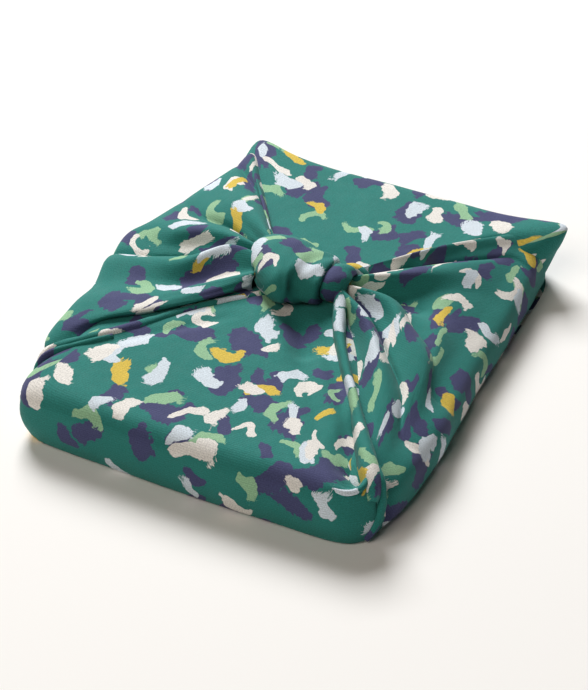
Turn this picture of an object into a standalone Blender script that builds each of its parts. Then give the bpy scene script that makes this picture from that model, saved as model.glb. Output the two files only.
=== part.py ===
"""Furoshiki wrap: one square cloth folded round a flat box and tied on top.

The cloth is modelled as one closed body in its tied shape.  Its front and
back corners lie flat over the box, its left and right corners are gathered
into folds that run over the sides and meet in the knot.  The box inside never
shows, so the body is filled.  Metres, +Z up; X runs along the front edge, Y
from front to back, and the origin is the middle of the underside.
"""

from collections import namedtuple

import bmesh
import bpy
import numpy as np

# ---------------------------------------------------------------- sizes, metres
MM = 0.001
PARCEL_HALF_WIDTH = 0.1015
PARCEL_HALF_DEPTH = 0.1365
PARCEL_TOP = 0.0345
TOP_CROWN = 0.0012
TOP_EDGE_RADIUS = 0.0120
BASE_EDGE_RADIUS = 0.0030
SIDE_BULGE = 0.0012
CORNER_SQUARENESS = 12.0
RING_POINTS_PER_SIDE = 14
TOP_RINGS = 6

# The right edge of the parcel leans in and sinks under the gathered corner.
RIGHT_LEAN = 0.014
RIGHT_SLUMP = 0.007
RIGHT_TUCK = 0.008
LEAN_ACROSS = (0.030, 0.095)
LEAN_UP = (0.004, 0.034)
SLUMP_ACROSS = (0.068, 0.096)
SLUMP_UP = (0.010, 0.034)
LEAN_TO_BACK = (0.085, 0.128)
LEAN_TO_FRONT = (0.100, 0.130)
TUCK_ACROSS = (0.050, 0.100)
TUCK_ALONG = (-0.030, 0.135)
TUCK_BACK_END = (0.090, 0.120)

# The top sinks under the gathered corners, inside their two border lines each.
HOLLOW_DEPTH = 0.004
HOLLOW_BORDER = (0.003, 0.013)
HOLLOW_ENDS = (0.092, 0.114)
HOLLOW_UP = (0.010, 0.0325)

SKIRT_FOOT_HEIGHT = 0.0035
SKIRT_ROOT_DEPTH = 0.008
LEFT_EDGE_INSET = 0.002
RIGHT_EDGE_INSET = 0.014
# Climb of a fold up the side: how much of its own standing-out, of the inset of
# the top edge and of its height it has at the foot, the waist, the shoulder, the edge.
CLIMB_OUT = (0.2, 0.8, 1.0, 1.0)
CLIMB_INSET = (0.0, 0.0, 0.22, 1.0)
CLIMB_HEIGHT = (0.0, 0.45, 0.80, 1.0)
CORE_DEPTH = 0.030
CORE_DRAWN_IN = 0.9
CORE_HEIGHTS = (0.005, 0.006, 0.010, 0.014, 0.018, 0.018, 0.018, 0.018, 0.018)

STEPS_ALONG_FOLD = 3
STEPS_ACROSS_FOLD = 3
CORE_STEPS = 5
EDGE_STEPS = 4
STEPS_ALONG_ROLL = 2
POINTS_ROUND_WRAP = 28
POINTS_ROUND_COLLAR = 24
POINTS_ROUND_PLEAT = 12
POINTS_ROUND_ROLL = 10
POINTS_ROUND_SMALL_ROLL = 8
KNOT_FULLNESS = 0.86

# ------------------------------------------------------- tables, in millimetres
# One row for each ridge or valley of a gathered corner, from back to front.
# edge_y, edge_z: where it crosses the top edge of the side.  out: how far it
# stands out from the side.  line: four places on its way over the top, the last
# one inside the knot.
Fold = namedtuple("Fold", "edge_y edge_z out line")

LEFT_FOLDS = [
    Fold(124, 30, -6, ((-77.5, 100.3, 30.7), (-62, 76.5, 31.5), (-46.5, 52.8, 32.2), (-31, 29, 33))),
    Fold(119, 36, -2.5, ((-81, 95.3, 38.6), (-64.9, 71.8, 40.7), (-48.6, 48.4, 43), (-31, 26, 46))),
    Fold(106, 33.5, -1, ((-79.1, 87.9, 36), (-60.8, 68.5, 37.2), (-46, 46.2, 38.8), (-31, 24, 42))),
    Fold(84, 35, 2, ((-86, 66, 41.7), (-66.7, 54, 45), (-47.6, 38.8, 47.5), (-31, 21, 50))),
    Fold(57, 34.5, 7, ((-90, 43.5, 37.6), (-67.6, 40.5, 36.2), (-48.9, 30.8, 35.6), (-31, 18.5, 40))),
    Fold(29, 35.5, 13, ((-94.6, 20, 42.2), (-72.5, 26, 44.4), (-51.5, 23.5, 46.4), (-31, 16.5, 49))),
    Fold(16, 33.5, 19.5, ((-96, 10.5, 36.4), (-74, 19, 38.2), (-53, 20.5, 41.5), (-31, 15.5, 45))),
    Fold(-3, 28.5, 19, ((-95.7, 1.5, 31.8), (-75, 9, 32.6), (-54.5, 17.4, 35), (-31, 14, 38))),
    Fold(-13, 33.5, 17.5, ((-93.5, -7.5, 39.5), (-72.5, -6, 44.8), (-54.5, 11.5, 49.2), (-31, 10, 50))),
    Fold(-33, 30.5, 13.5, ((-92.6, -24, 35.6), (-71, -17.5, 36.2), (-51, -3.5, 39), (-31, 4, 45))),
    Fold(-60, 34, 12.5, ((-88.1, -47.9, 38.6), (-67.8, -33.7, 40), (-49.7, -16.3, 42), (-31, -1, 45))),
    Fold(-91, 29.5, 11, ((-92.4, -66.8, 36.4), (-70.6, -48.9, 37.6), (-50, -28.4, 38.4), (-31, -6, 40))),
    Fold(-91, 26, -6, ((-90.3, -59.7, 31), (-70.2, -40.9, 31), (-51.9, -20.5, 31.5), (-31, -2, 32))),
]

RIGHT_FOLDS = [
    Fold(124, 27, -6, ((66, 103.8, 30), (48.8, 78.5, 31), (31.9, 53.3, 32), (14, 27, 33))),
    Fold(117, 32, 1, ((66.7, 95.4, 39.4), (48.8, 72.8, 42.6), (31.3, 47.6, 44.6), (14, 22, 46))),
    Fold(107, 30.5, 1, ((67.3, 87.5, 36.6), (48.6, 67, 38.8), (31.9, 43.6, 40.5), (14, 19.5, 43))),
    Fold(98, 28.5, 1, ((67.4, 80.2, 32.8), (47.6, 61.3, 33.4), (31, 41, 35), (14, 18, 38))),
    Fold(70, 28, 2, ((67.5, 59.5, 38.6), (50.6, 43.6, 43), (33.4, 29.8, 45), (14, 16.5, 46))),
    Fold(58, 27, 2, ((69.6, 47.5, 34.4), (52, 36.4, 34.6), (34, 26.4, 36.5), (14, 15, 40))),
    Fold(30, 26, 2, ((70.1, 29.8, 32.6), (54.4, 26.2, 31.8), (40.3, 24.3, 32.4), (14, 14, 36))),
    Fold(-4, 26.5, 2, ((74.9, 10.4, 33.6), (58.4, 16, 32.6), (44.4, 21.6, 32.2), (14, 13, 35.5))),
    Fold(-36, 26.5, 3, ((81, -11.7, 32.4), (63.8, 4, 31.8), (46.8, 19.6, 31.6), (14, 12, 35))),
    Fold(-47, 28.5, 4, ((81.4, -21.6, 38.8), (62.5, -6.5, 42.6), (44.5, 9.7, 45.2), (14, 11, 46))),
    Fold(-62, 28.5, 3, ((80.6, -35.7, 36.8), (62.2, -17.2, 39.6), (43.5, 1.8, 39), (14, 10.2, 42))),
    Fold(-76, 27.5, 2, ((79.5, -48.1, 32.4), (61.8, -26.1, 32.6), (42.6, -4.1, 32.4), (14, 9.5, 37))),
    Fold(-90, 29, 2, ((77.9, -61.2, 37.6), (60.4, -35.8, 42), (40.6, -10.2, 44.4), (14, 8, 46))),
    Fold(-108, 26, 0, ((76.6, -80.6, 32.6), (57.8, -50.7, 33), (36.5, -19.5, 32.6), (14, 5, 36))),
    Fold(-116, 24, -7, ((71.7, -86.2, 29), (55.9, -54.7, 30.5), (33.9, -23.6, 30.5), (14, 3, 33))),
]

# Line of each side's hanging cloth: place along the side, distance from the middle.
LEFT_FOOT = [(-140, 100), (-90, 103), (0, 105), (90, 103), (140, 100)]
RIGHT_FOOT = [(-140, 100), (-119, 102), (-90, 105), (-50, 104.5), (0, 101), (60, 99), (110, 96), (140, 93)]

# Border lines of the two gathered corners seen from above: start and end places,
# each line with the corner on its right-hand side.
HOLLOW_LINES = {
    "left": [((-31, -6), (-92.4, -66.8)), ((-77.5, 100.3), (-31, 29))],
    "right": [((14, 27), (66, 103)), ((95, -117), (14, 3))],
}

# One row for each corner of the parcel where the cloth is drawn out: the corner,
# how far it is pulled, how wide the pull spreads, and how much of it is kept
# low on the side: 0 pulls all heights alike, 3 pulls mostly the top edge.
Pull = namedtuple("Pull", "x y by_x by_y by_z spread fade")

CORNER_PULLS = {
    "back left": Pull(-85, 118, -5.5, 8, 1.2, 17, 2.0),
    "back left tip": Pull(-85, 118, -4, 4.5, 0.3, 9, 2.0),
    "back left side": Pull(-95, 128, -5.5, 7, 0.5, 13, 1.3),
    "back right": Pull(85, 118, 9, 5, 2.2, 19, 2.0),
    "back right tip": Pull(85, 118, 7, 5, 1.2, 9, 2.0),
    "back right side": Pull(95, 128, 4.5, 1.5, 0, 13, 1.0),
    "front left": Pull(-98, -120, -9, 0, 0, 24, 0.5),
    "front right": Pull(96, -129, 2, 12, 0, 11, 1.3),
}

# One row for each section of a roll of cloth along its path: the middle of the
# section, then its half width and half height.
Section = namedtuple("Section", "x y z half_width half_height")

FRONT_PLEAT = [
    Section(14, 13, 43, 3, 4),
    Section(19.5, 3, 41.5, 3.8, 4.6),
    Section(24, -8, 39, 3.9, 4.6),
    Section(30, -20.5, 37.5, 3.4, 4.4),
    Section(37, -32, 36.6, 2.9, 4),
    Section(48, -48.6, 35.8, 2.9, 3.8),
    Section(59.5, -64.5, 35.4, 2.8, 3.6),
    Section(69.5, -79.5, 35.2, 3.6, 3.5),
    Section(79.6, -94.6, 35.2, 4.6, 3.4),
    Section(86.6, -104.6, 34.6, 5.2, 3.3),
    Section(91.6, -111.6, 33, 5.2, 3.2),
    Section(95.2, -117, 29.5, 4.4, 3),
    Section(97, -121, 24, 2.6, 2),
]

CORNER_CREASE = [
    Section(92.5, -107.5, 33, 2.0, 2.2),
    Section(97.3, -112, 30, 2.3, 2.3),
    Section(100, -116, 23, 2.3, 2.3),
    Section(100.6, -119.5, 15, 2.3, 2.3),
    Section(99.2, -124, 7.5, 2.2, 2.2),
    Section(96.4, -127.2, 2.4, 1.8, 1.8),
]

LOWER_ROLL = [
    Section(-24, -4, 33.8, 2.6, 3.8),
    Section(-37, -16, 33.6, 2.8, 3.4),
    Section(-54, -34, 33.6, 2.8, 3.2),
    Section(-73, -60, 33.6, 3.0, 3.2),
    Section(-92, -82, 33, 2.8, 3.2),
    Section(-107, -98, 30, 2.5, 3),
    Section(-110, -107, 22, 2, 3),
]

CORNER_ROLL = [
    Section(-80, -74, 33.5, 1.5, 2.2),
    Section(-92, -88, 33.4, 2, 2.6),
    Section(-106, -102.5, 30, 2, 2.8),
    Section(-109, -111, 22, 1.6, 2.6),
]

KNOT_WRAP = [
    Section(-33.0, 0.4, 44.6, 5, 3),
    Section(-32.2, 1.2, 44.8, 13, 6),
    Section(-30.6, 2.6, 45.0, 19.6, 8.7),
    Section(-28.0, 4.2, 45.3, 24.2, 10.8),
    Section(-24.4, 6.0, 45.7, 26.4, 11.9),
    Section(-19.6, 8.2, 46.0, 26.4, 12.3),
    Section(-14, 9.6, 46.2, 25, 12.2),
    Section(-8.5, 10.4, 45.6, 22.8, 11.6),
    Section(-3, 10.8, 44.8, 20.2, 10.9),
    Section(2.5, 11.2, 44.4, 18.2, 10.6),
    Section(7, 11.6, 44.0, 16.6, 10),
    Section(8.2, 11.8, 43.8, 13, 8),
]

# Degrees each section of the wrap is turned from facing right.
WRAP_TURNS = [38, 38, 38, 38, 35, 29, 22, 16, 11, 7, 3, 0]

KNOT_COLLAR = [
    Section(3, 12, 43.2, 9, 6),
    Section(9, 12.4, 43.6, 12.4, 8.8),
    Section(13.5, 13, 43.8, 12.6, 9.4),
    Section(18, 14, 43.2, 11.2, 8.6),
    Section(21, 14.6, 42.2, 7.6, 6.4),
]

TUCKED_TAIL = [
    Section(8, 23, 44, 2.0, 2.0),
    Section(13, 25.2, 45.6, 3.0, 2.8),
    Section(17, 26.4, 45.4, 3.6, 3.0),
    Section(22, 27, 43.6, 3.0, 2.6),
    Section(24.5, 27, 42, 1.6, 1.6),
]

CLOTH_COLOUR = (0.030, 0.215, 0.165, 1.0)
CLOTH_ROUGHNESS = 0.85


# ------------------------------------------------------------------- curves
def curve_through(points, steps):
    """Smooth curve through the first axis of an array, `steps` to a stretch.

    Hermite stretches with chord-length slopes, so close and wide spacings
    can follow each other without loops.
    """
    points = np.asarray(points, float)
    ends = [2 * points[:1] - points[1:2], 2 * points[-1:] - points[-2:-1]]
    padded = np.concatenate([ends[0], points, ends[1]])
    gap = np.linalg.norm(np.diff(padded, axis=0), axis=-1, keepdims=True)
    gap = np.maximum(gap, 1e-6) ** 0.5
    before, inside, after = gap[:-2], gap[1:-1], gap[2:]
    p0, p1, p2, p3 = padded[:-3], padded[1:-2], padded[2:-1], padded[3:]
    slope1 = (p1 - p0) / before - (p2 - p0) / (before + inside) + (p2 - p1) / inside
    slope2 = (p2 - p1) / inside - (p3 - p1) / (inside + after) + (p3 - p2) / after
    slope1, slope2 = slope1 * inside, slope2 * inside
    samples = []
    for t in np.arange(steps) / steps:
        samples.append(
            (2 * t**3 - 3 * t**2 + 1) * p1
            + (t**3 - 2 * t**2 + t) * slope1
            + (3 * t**2 - 2 * t**3) * p2
            + (t**3 - t**2) * slope2
        )
    woven = np.stack(samples, axis=1).reshape(-1, *points.shape[1:])
    return np.concatenate([woven, points[-1:]])


# ------------------------------------------------------------------- meshes
def closed_loft(name, rings):
    """Closed body through closed rings of equal length, with flat-filled ends."""
    rings = np.asarray(rings, float)
    count, around = rings.shape[:2]
    here = np.arange(around)
    following = (here + 1) % around
    faces = []
    for row in range(count - 1):
        low, high = row * around, (row + 1) * around
        faces += np.stack(
            [low + here, low + following, high + following, high + here], 1
        ).tolist()
    faces.append(here[::-1].tolist())
    faces.append((here + (count - 1) * around).tolist())
    mesh = bpy.data.meshes.new(name)
    mesh.from_pydata(rings.reshape(-1, 3).tolist(), [], faces)
    return link(name, mesh)


def link(name, mesh):
    """New object for a mesh, with outward faces and plain triangles."""
    bm = bmesh.new()
    bm.from_mesh(mesh)
    bmesh.ops.triangulate(bm, faces=bm.faces)
    bmesh.ops.recalc_face_normals(bm, faces=bm.faces)
    bm.to_mesh(mesh)
    bm.free()
    obj = bpy.data.objects.new(name, mesh)
    bpy.context.scene.collection.objects.link(obj)
    return obj


# ------------------------------------------------------------------- parcel
def parcel_outline(inset):
    """Rounded rectangle seen from above, drawn in by `inset`."""
    side = np.linspace(-1, 1, RING_POINTS_PER_SIDE, endpoint=False)
    one = np.ones_like(side)
    across = np.concatenate([side, one, -side, -one])
    along = np.concatenate([-one, side, one, -side])
    power = CORNER_SQUARENESS
    shrink = (np.abs(across) ** power + np.abs(along) ** power) ** (-1 / power)
    return np.stack(
        [
            across * shrink * (PARCEL_HALF_WIDTH - inset),
            along * shrink * (PARCEL_HALF_DEPTH - inset),
        ],
        1,
    )


def parcel_profile():
    """Rows of (inset, height) up the side: base edge, soft side, top edge."""
    bend = np.linspace(0, np.pi / 2, EDGE_STEPS)
    base_inset = BASE_EDGE_RADIUS * (1 - np.sin(bend))
    base_height = BASE_EDGE_RADIUS * (1 - np.cos(bend))
    top_inset = TOP_EDGE_RADIUS * (1 - np.cos(bend))
    top_height = PARCEL_TOP - TOP_EDGE_RADIUS * (1 - np.sin(bend))
    middle = (base_height[-1] + top_height[0]) / 2
    return (
        list(zip(base_inset, base_height))
        + [(-SIDE_BULGE, middle)]
        + list(zip(top_inset, top_height))
    )


def ease(value, low, high):
    """Smooth step from 0 at `low` to 1 at `high`."""
    share = np.clip((value - low) / (high - low), 0, 1)
    return share * share * (3 - 2 * share)


def covered(x, y):
    """How far a place lies under a gathered corner: from 0 at its borders to 1."""
    share = np.zeros_like(x)
    for lines in HOLLOW_LINES.values():
        inside = np.full_like(x, PARCEL_HALF_DEPTH)
        for start, end in lines:
            (x0, y0), (x1, y1) = np.array([start, end]) * MM
            away = (x - x0) * (y1 - y0) - (y - y0) * (x1 - x0)
            inside = np.minimum(inside, away / np.hypot(x1 - x0, y1 - y0))
        share = np.maximum(share, ease(inside, *HOLLOW_BORDER))
    return share * (1 - ease(np.abs(y), *HOLLOW_ENDS))


def leaned(points):
    """Points of the parcel with its top sunk under the ties and its right edge leaned in."""
    points = np.array(points, float)
    x, y, z = points.T.copy()
    middle = (1 - ease(y, *LEAN_TO_BACK)) * (1 - ease(-y, *LEAN_TO_FRONT))
    points[:, 0] -= RIGHT_LEAN * ease(x, *LEAN_ACROSS) * middle * ease(z, *LEAN_UP)
    points[:, 2] -= RIGHT_SLUMP * ease(x, *SLUMP_ACROSS) * middle * ease(z, *SLUMP_UP)
    tucked = ease(x, *TUCK_ACROSS) * ease(y, *TUCK_ALONG)
    raised = np.clip(z / PARCEL_TOP, 0, 1) * ease(y, *TUCK_BACK_END)
    points[:, 0] -= RIGHT_TUCK * tucked * (1 - raised)
    points[:, 2] -= HOLLOW_DEPTH * covered(x, y) * ease(z, *HOLLOW_UP)
    return points


def pulled(points):
    """Points of the parcel with its drawn-out corners."""
    plan = np.array(points[:, :2], float)
    share = np.clip(points[:, 2] / PARCEL_TOP, 0, 1)
    points = leaned(points)
    for pull in CORNER_PULLS.values():
        away = np.linalg.norm(plan - np.array([pull.x, pull.y]) * MM, axis=1)
        weight = np.exp(-((away / (pull.spread * MM)) ** 2)) * share**pull.fade
        weight[points[:, 2] < BASE_EDGE_RADIUS / 2] = 0
        points += weight[:, None] * np.array([pull.by_x, pull.by_y, pull.by_z]) * MM
    return points


def parcel_rings():
    """Rings of the parcel from the flat underside to the crowned top."""
    rings = []
    for inset, height in parcel_profile():
        plan = parcel_outline(inset)
        rings.append(np.column_stack([plan, np.full(len(plan), height)]))
    edge = rings[-1]
    for share in np.linspace(1, 0, TOP_RINGS + 1)[1:-1]:
        ring = edge * (share, share, 1)
        ring[:, 2] += TOP_CROWN * (1 - share**2)
        rings.append(ring)
    return [pulled(ring) for ring in rings]


# --------------------------------------------------------------------- ties
def fold_stations(fold, side, foot_line, edge_inset):
    """Control points of one ridge or valley, from under the side to the knot."""
    edge_y, edge_z, out = fold.edge_y * MM, fold.edge_z * MM, fold.out * MM
    along, from_middle = np.array(foot_line, float).T * MM
    wall = np.interp(edge_y, along, from_middle)
    stations = [(side * (wall - SKIRT_ROOT_DEPTH), edge_y, SKIRT_FOOT_HEIGHT / 2)]
    for reach, inset, height in zip(CLIMB_OUT, CLIMB_INSET, CLIMB_HEIGHT):
        x = side * (wall + reach * out - inset * edge_inset)
        stations.append((x, edge_y, max(height * edge_z, SKIRT_FOOT_HEIGHT)))
    return stations + [tuple(value * MM for value in place) for place in fold.line]


def core_stations(outer):
    """Points inside the parcel under a border fold, one for each of its stations."""
    inner = np.array(outer)
    climb = len(CLIMB_OUT) + 1
    wall = abs(inner[0, 0]) + SKIRT_ROOT_DEPTH
    inner[:climb, 0] = np.sign(inner[0, 0]) * (wall - CORE_DEPTH)
    inner[climb:-1, :2] *= CORE_DRAWN_IN
    inner[:, 2] = CORE_HEIGHTS
    return inner


def tie(name, folds, side, foot_line, edge_inset):
    """Gathered corner: its folded outer face closed through the parcel."""
    outer = np.array([fold_stations(fold, side, foot_line, edge_inset) for fold in folds])
    first, last = core_stations(outer[0]), core_stations(outer[-1])
    outer = curve_through(outer, STEPS_ACROSS_FOLD)
    share = np.linspace(0, 1, CORE_STEPS)[:, None, None]
    inner = last * (1 - share) + first * share
    rings = np.concatenate([outer, inner]).swapaxes(0, 1)
    return closed_loft(name, curve_through(rings, STEPS_ALONG_FOLD))


# -------------------------------------------------------------------- rolls
def roll(name, sections, points_around, turns=None, fullness=1.0):
    """Closed roll of cloth with oval sections square to its path.

    `turns` sets every section upright and turned from facing right by its own
    angle in degrees; a `fullness` below 1 makes the ovals squarer.
    """
    table = curve_through(np.array(sections, float) * MM, STEPS_ALONG_ROLL)
    middle, half_width, half_height = table[:, :3], table[:, 3:4], table[:, 4:5]
    ahead = np.gradient(middle, axis=0)
    if turns:
        places = np.linspace(0, len(turns) - 1, len(table))
        angle = np.radians(np.interp(places, np.arange(len(turns)), turns))
        ahead = np.stack([np.cos(angle), np.sin(angle), 0 * angle], 1)
    ahead /= np.linalg.norm(ahead, axis=1, keepdims=True)
    sideways = np.cross(ahead, (0, 0, 1))
    sideways /= np.linalg.norm(sideways, axis=1, keepdims=True)
    upward = np.cross(sideways, ahead)
    turn = np.linspace(0, 2 * np.pi, points_around, endpoint=False)[:, None, None]
    across = np.sign(np.cos(turn)) * np.abs(np.cos(turn)) ** fullness
    over = np.sign(np.sin(turn)) * np.abs(np.sin(turn)) ** fullness
    rings = middle + across * sideways * half_width + over * upward * half_height
    return closed_loft(name, rings.swapaxes(0, 1))


# ----------------------------------------------------------------- assembly
def join_solids(target, others):
    """Boolean union of the overlapping solids into one closed body."""
    for other in others:
        other.hide_render = True
        other.display_type = "WIRE"
        union = target.modifiers.new("join " + other.name, "BOOLEAN")
        union.operation = "UNION"
        union.solver = "EXACT"
        union.object = other


def cloth_material():
    """Teal green cotton."""
    material = bpy.data.materials.new("cloth")
    material.use_nodes = True
    surface = material.node_tree.nodes["Principled BSDF"]
    surface.inputs["Base Color"].default_value = CLOTH_COLOUR
    surface.inputs["Roughness"].default_value = CLOTH_ROUGHNESS
    surface.inputs["Metallic"].default_value = 0.0
    return material


def main():
    """Build the wrap in an empty scene."""
    for old in list(bpy.data.objects):
        bpy.data.objects.remove(old, do_unlink=True)
    wrap = closed_loft("furoshiki", parcel_rings())
    solids = [
        tie("left tie", LEFT_FOLDS, -1, LEFT_FOOT, LEFT_EDGE_INSET),
        tie("right tie", RIGHT_FOLDS, 1, RIGHT_FOOT, RIGHT_EDGE_INSET),
        roll("front pleat", FRONT_PLEAT, POINTS_ROUND_PLEAT),
        roll("corner crease", CORNER_CREASE, POINTS_ROUND_SMALL_ROLL),
        roll("lower roll", LOWER_ROLL, POINTS_ROUND_ROLL),
        roll("corner roll", CORNER_ROLL, POINTS_ROUND_SMALL_ROLL),
        roll("knot wrap", KNOT_WRAP, POINTS_ROUND_WRAP, WRAP_TURNS, KNOT_FULLNESS),
        roll("knot collar", KNOT_COLLAR, POINTS_ROUND_COLLAR, [0, 0], KNOT_FULLNESS),
        roll("tucked tail", TUCKED_TAIL, POINTS_ROUND_PLEAT),
    ]
    join_solids(wrap, solids)
    wrap.data.materials.append(cloth_material())


main()
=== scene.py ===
"""Furoshiki wrap: one square of printed cotton, folded round a flat box and tied on top.

Metres, +Z up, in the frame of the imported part: X runs along the front edge, Y from
front to back, and the origin is the middle of the underside.
"""

import logging
import math
from dataclasses import dataclass
from enum import Enum
from typing import NamedTuple, Sequence, Union

import bmesh
import bpy
import numpy as np
from mathutils import Matrix, Vector
from numpy.typing import NDArray

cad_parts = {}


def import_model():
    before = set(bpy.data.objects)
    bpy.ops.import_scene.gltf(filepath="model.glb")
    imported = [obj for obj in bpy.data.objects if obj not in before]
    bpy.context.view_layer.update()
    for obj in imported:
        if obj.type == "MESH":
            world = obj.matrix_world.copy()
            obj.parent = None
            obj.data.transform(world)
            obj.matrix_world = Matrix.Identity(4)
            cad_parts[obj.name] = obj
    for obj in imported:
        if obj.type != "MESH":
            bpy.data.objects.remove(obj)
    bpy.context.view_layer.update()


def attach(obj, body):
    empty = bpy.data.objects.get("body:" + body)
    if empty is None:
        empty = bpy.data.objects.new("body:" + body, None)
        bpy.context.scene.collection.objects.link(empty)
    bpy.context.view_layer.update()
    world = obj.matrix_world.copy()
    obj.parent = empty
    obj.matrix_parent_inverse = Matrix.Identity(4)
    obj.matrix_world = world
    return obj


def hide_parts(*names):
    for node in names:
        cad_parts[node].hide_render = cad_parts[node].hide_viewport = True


log = logging.getLogger("furoshiki")
Array = NDArray[np.float64]
Socket = bpy.types.NodeSocket
Number = Union[float, Socket]

MM = 0.001
NODE = "furoshiki"
BODY = "root"
CLOTH_MAP = "cloth"


# ------------------------------------------------------------------ numbers
def line_through(points: Array, steps: Sequence[int]) -> Array:
    """Smooth line through the first axis of an array of points.

    Each stretch is a Hermite piece, (2t^3-3t^2+1) p1 + (t^3-2t^2+t) m1 +
    (3t^2-2t^3) p2 + (t^3-t^2) m2, whose slopes m are three-point differences over
    the square roots of the chords, so close and wide spacings can follow each other.

    Args:
        points: Control points, the last axis being coordinates.
        steps: How many parts each stretch is cut into.

    Returns:
        The points of the line along the first axis.
    """
    points = np.asarray(points, float)
    ends = (2 * points[:1] - points[1:2], 2 * points[-1:] - points[-2:-1])
    padded = np.concatenate([ends[0], points, ends[1]])
    gap = np.linalg.norm(np.diff(padded, axis=0), axis=-1, keepdims=True)
    gap = np.maximum(gap, 1e-6) ** 0.5
    before, inside, after = gap[:-2], gap[1:-1], gap[2:]
    p0, p1, p2, p3 = padded[:-3], padded[1:-2], padded[2:-1], padded[3:]
    m1 = (p1 - p0) / before - (p2 - p0) / (before + inside) + (p2 - p1) / inside
    m2 = (p2 - p1) / inside - (p3 - p1) / (inside + after) + (p3 - p2) / after
    m1, m2 = m1 * inside, m2 * inside
    pieces = []
    for k, count in enumerate(steps):
        t = (np.arange(count) / count).reshape(-1, *[1] * (points.ndim - 1))
        pieces.append(
            (2 * t**3 - 3 * t**2 + 1) * p1[k]
            + (t**3 - 2 * t**2 + t) * m1[k]
            + (3 * t**2 - 2 * t**3) * p2[k]
            + (t**3 - t**2) * m2[k]
        )
    return np.concatenate([*pieces, points[-1:]])


def ripples(u: Array, v: Array, length: float, seed: int, waves: int = 9) -> Array:
    """Uneven soft waves: a sum of plane waves in seeded directions.

    Args:
        u: First coordinate.
        v: Second coordinate.
        length: Usual length of a wave.
        seed: Start of the random draw.
        waves: How many waves are summed.

    Returns:
        Heights of about -1 to 1.
    """
    draw = np.random.default_rng(seed)
    turn = draw.uniform(0, 2 * np.pi, waves)
    pitch = length * draw.uniform(0.7, 1.5, waves)
    phase = draw.uniform(0, 2 * np.pi, waves)
    along = u[..., None] * np.cos(turn) + v[..., None] * np.sin(turn)
    return np.cos(2 * np.pi * along / pitch + phase).sum(-1) / waves**0.5 / 1.5


def ease(x: Array, low: float, high: float) -> Array:
    """Soft step from 0 at `low` to 1 at `high`: 3s^2 - 2s^3."""
    s = np.clip((x - low) / (high - low), 0, 1)
    return s * s * (3 - 2 * s)


def lengths_along(points: Array, axis: int) -> Array:
    """Distance walked along an axis of a grid of points: a running sum of its steps.

    Args:
        points: Grid of points, the last axis being coordinates.
        axis: The axis walked along.

    Returns:
        Distances from 0 at the axis's start.
    """
    steps = np.linalg.norm(np.diff(points, axis=axis), axis=-1)
    start = np.zeros_like(np.take(steps, [0], axis=axis))
    return np.concatenate([start, np.cumsum(steps, axis=axis)], axis=axis)


def grid_normals(points: Array, closed: bool = False) -> Array:
    """Unit normals of a grid: the cross product of its two tangents.

    Args:
        points: Grid of rows, columns and coordinates.
        closed: Whether the columns run round and meet.

    Returns:
        Normals on the same grid.
    """
    if closed:
        wide = np.concatenate([points[:, -1:], points, points[:, :1]], axis=1)
        across = (wide[:, 2:] - wide[:, :-2]) / 2
    else:
        across = np.gradient(points, axis=1)
    normal = np.cross(np.gradient(points, axis=0), across)
    return normal / np.maximum(np.linalg.norm(normal, axis=-1, keepdims=True), 1e-12)


def distance_to_line(points: Array, line: Array) -> tuple[Array, Array]:
    """Distance of points to a bent line, and how far along it the nearest place is.

    Args:
        points: Points, the last axis being coordinates.
        line: Corners of the line in the same coordinates.

    Returns:
        The distances, and the places from 0 at the line's start to 1 at its end.
    """
    run = np.linalg.norm(np.diff(line, axis=0), axis=1)
    start = np.concatenate([[0], np.cumsum(run)])[:-1]
    best = np.full(points.shape[:-1], 1e9)
    place = np.zeros(points.shape[:-1])
    for a, b, length, begun in zip(line[:-1], line[1:], run, start):
        t = np.clip(((points - a) @ (b - a)) / length**2, 0, 1)
        away = np.linalg.norm(points - a - t[..., None] * (b - a), axis=-1)
        nearer = away < best
        best = np.where(nearer, away, best)
        place = np.where(nearer, (begun + t * length) / run.sum(), place)
    return best, place


# ------------------------------------------------------------------ patches
@dataclass
class Patch:
    """Part of the cloth: its points, its faces and where each corner lies on the flat cloth."""

    points: Array
    faces: NDArray[np.int64]
    cloth: Array

    def turned_out(self, inside: Array) -> "Patch":
        """The same patch with faces that point away from what is inside it.

        Args:
            inside: Points along a line inside the patch.

        Returns:
            The patch, turned over if most of it faces its nearest inside point.
        """
        corner = self.points[self.faces]
        normal = np.cross(corner[:, 2] - corner[:, 0], corner[:, 3] - corner[:, 1])
        middle = corner.mean(1)
        gap = np.linalg.norm(middle[:, None] - inside[None], axis=-1)
        away = middle - inside[gap.argmin(1)]
        if (normal * away).sum() < 0:
            return Patch(self.points, self.faces[:, ::-1], self.cloth[:, ::-1])
        return self


def grid_patch(points: Array, cloth: Array, closed: bool = False) -> Patch:
    """Patch from a grid of points and a place on the flat cloth for every face corner.

    Args:
        points: Grid of rows, columns and three coordinates.
        cloth: Rows of faces, columns of faces, four corners, two coordinates.
        closed: Whether the columns run round and meet.

    Returns:
        The patch.
    """
    rows, columns = points.shape[:2]
    index = np.arange(rows * columns).reshape(rows, columns)
    if closed:
        index = np.concatenate([index, index[:, :1]], axis=1)
    corners = [index[:-1, :-1], index[:-1, 1:], index[1:, 1:], index[1:, :-1]]
    faces = np.stack(corners, -1).reshape(-1, 4)
    return Patch(points.reshape(-1, 3), faces, cloth.reshape(-1, 4, 2))


def face_corners(u: Array, v: Array) -> Array:
    """Corners of every face of a grid from one pair of coordinates at each point."""
    both = np.stack([u, v], -1)
    return np.stack([both[:-1, :-1], both[:-1, 1:], both[1:, 1:], both[1:, :-1]], 2)


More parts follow.
